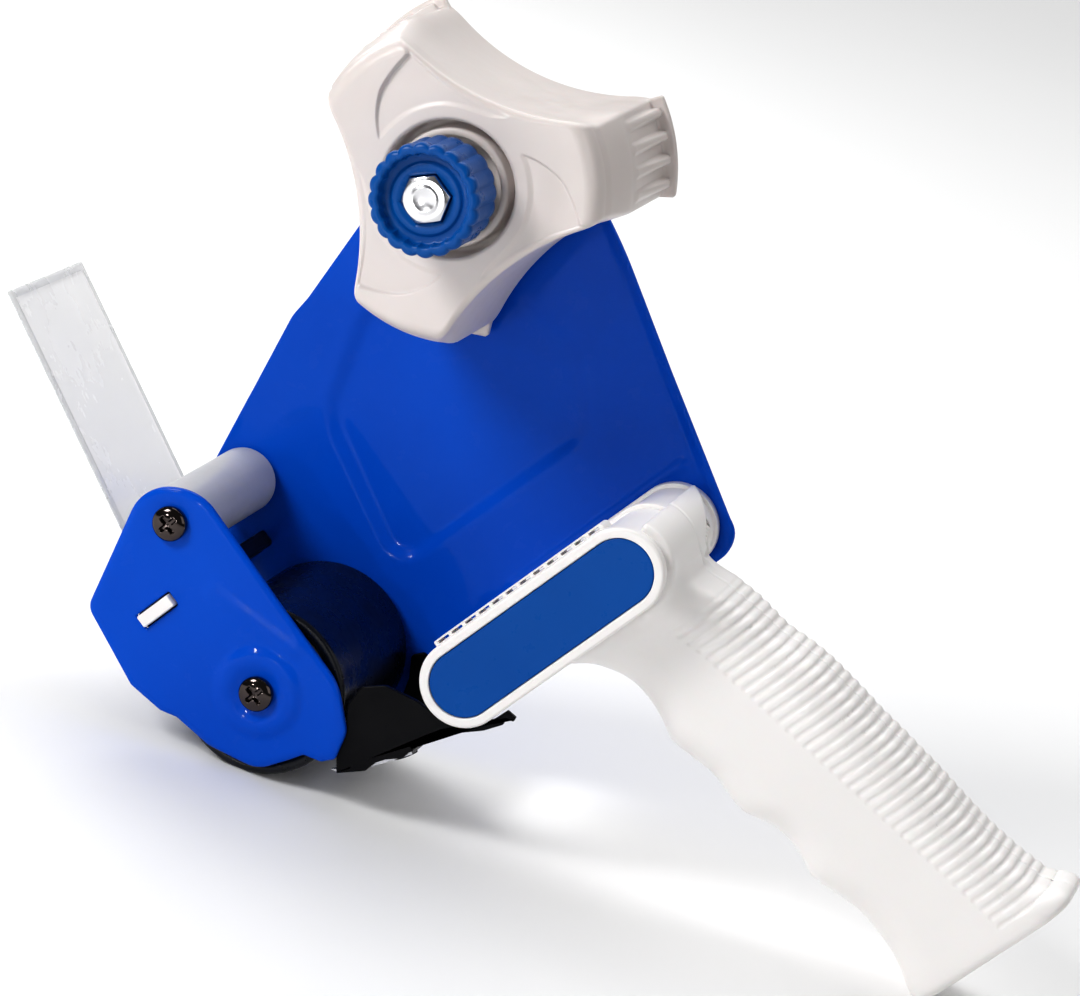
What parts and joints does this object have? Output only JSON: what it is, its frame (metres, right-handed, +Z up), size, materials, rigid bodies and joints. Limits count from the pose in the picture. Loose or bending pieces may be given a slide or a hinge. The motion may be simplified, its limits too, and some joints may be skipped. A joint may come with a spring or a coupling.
{
  "type": "tape gun dispenser",
  "caption": "Hand-held tape gun: side plates on a pistol grip carry a braked three-armed tape hub, a rubber application roller, a guide roller, a springy flap and a toothed cutter.",
  "frame": {"origin": "centre of the bounding box on the floor that the tool stands on, resting on its roller and on the front edge of its grip", "axes": "+X from the roller end towards the end of the grip, +Y from the open side towards the main side plate, +Z up"},
  "size_m": [0.2712, 0.0764, 0.1776],
  "materials": {
    "blue_paint": "gloss blue powder coat",
    "black_paint": "black zinc and paint, satin",
    "blade_steel": "ground spring steel",
    "steel": "zinc plated",
    "bright_steel": "bright zinc plated",
    "dark_chrome": "black nickel plated",
    "black_rubber": "smooth, slightly glossy",
    "core_plastic": "moulded",
    "grey_plastic": "moulded, smooth",
    "white_plastic": "moulded, semi-gloss",
    "blue_plastic": "moulded, satin gloss",
    "flap_film": "milky translucent sheet",
    "felt": "pressed felt"
  },
  "bodies": {
    "root": {"main_side_plate": "blue_paint", "front_side_plate": "blue_paint", "cross_member": "black_paint", "cutter_blade": "blade_steel", "roller_axle": "steel", "guide_axle": "steel", "hub_sleeve": "steel", "weld_nut": "steel", "tension_spring": "steel", "blade_screws": "dark_chrome", "handle_shell_screws": "steel", "roller_screw_near": "dark_chrome", "roller_screw_far": "dark_chrome", "guide_screw_near": "dark_chrome", "guide_screw_far": "dark_chrome", "head_screw_front": "dark_chrome", "head_screw_rear": "dark_chrome", "brake_disc": "felt", "flap_base_bar": "white_plastic", "handle_shell_near": "white_plastic", "handle_shell_far": "white_plastic", "handle_head": "white_plastic", "handle_head_cap": "blue_plastic"},
    "application_roller": {"roller_tyre": "black_rubber", "roller_core": "core_plastic"},
    "guide_roller": {"guide_tube": "grey_plastic", "guide_bush_near": "core_plastic", "guide_bush_far": "core_plastic"},
    "hub": {"tape_hub": "white_plastic", "thrust_washer": "steel"},
    "spring_seat": {"tension_washer": "steel"},
    "knob": {"tension_knob": "blue_plastic", "tension_bolt": "bright_steel"},
    "flap": {"flap_sheet": "flap_film"}
  },
  "joints": [
    {"name": "hub_spin", "type": "hinge", "parent": "root", "child": "hub", "pos_m": [-0.0424, 0.0029, 0.14513], "axis": [0, 1, 0], "continuous": true},
    {"name": "roller_spin", "type": "hinge", "parent": "root", "child": "application_roller", "pos_m": [-0.05225, 0.00365, 0.02], "axis": [0, 1, 0], "continuous": true},
    {"name": "guide_spin", "type": "hinge", "parent": "root", "child": "guide_roller", "pos_m": [-0.08261, 0.00365, 0.05106], "axis": [0, 1, 0], "continuous": true},
    {"name": "spring_seat_slide", "type": "slide", "parent": "root", "child": "spring_seat", "axis": [0, 1, 0], "range_m": [-0.0021, 0.0016], "deforming": ["tension_spring"]},
    {"name": "knob_turn", "type": "hinge", "parent": "spring_seat", "child": "knob", "pos_m": [-0.0424, 0.0029, 0.14513], "axis": [0, 1, 0], "range_deg": [-720, 540]},
    {"name": "flap_flex", "type": "hinge", "parent": "root", "child": "flap", "pos_m": [-0.0826, 0.00365, 0.03169], "axis": [0, 1, 0], "range_deg": [-50, 15], "stiffness_Nm_per_rad": 0.12}
  ],
  "couplings": [
    {"joint": "spring_seat_slide", "follows": "knob_turn", "m_per_rad": 0.00015915}
  ]
}
